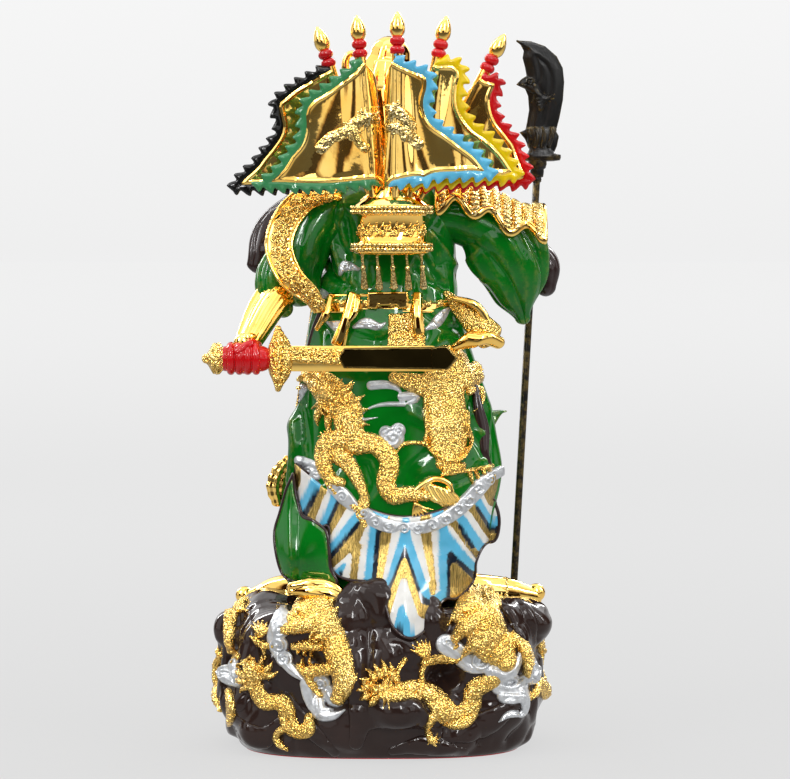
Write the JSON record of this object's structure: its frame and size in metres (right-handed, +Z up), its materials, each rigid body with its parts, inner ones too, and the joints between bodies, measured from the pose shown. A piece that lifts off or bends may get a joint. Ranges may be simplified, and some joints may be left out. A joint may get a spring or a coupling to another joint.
{
  "type": "guardian general figure",
  "caption": "Gilded and enamelled guardian general cast with his rock, with fan of pennants on his back, level sword and tall halberd",
  "frame": {"origin": "middle of the flat underside of the rock", "axes": "+Z up along the height, +Y out of the general's front, +X to the general's right hand side, so someone who looks along +Y sees his back as the picture does"},
  "size_m": [0.2381, 0.1639, 0.48],
  "materials": {
    "green_enamel": "high gloss green lacquer on cast resin",
    "gold": "mirror bright gold plate on cast resin, granular where it is carved",
    "black_enamel": "gloss black lacquer, rubbed with gold",
    "brown_enamel": "gloss dark brown lacquer",
    "sage_enamel": "gloss sage green lacquer",
    "blue_enamel": "gloss light blue lacquer",
    "yellow_enamel": "gloss yellow lacquer",
    "red_enamel": "gloss red lacquer",
    "silver": "pearly silver paint",
    "white_enamel": "gloss white lacquer"
  },
  "bodies": {
    "root": {"general_on_rock": "green_enamel", "sword": "gold", "halberd": "black_enamel", "pennant_black": "black_enamel", "pennant_green": "sage_enamel", "pennant_blue": "blue_enamel", "pennant_yellow": "yellow_enamel", "pennant_red": "red_enamel"}
  },
  "joints": []
}
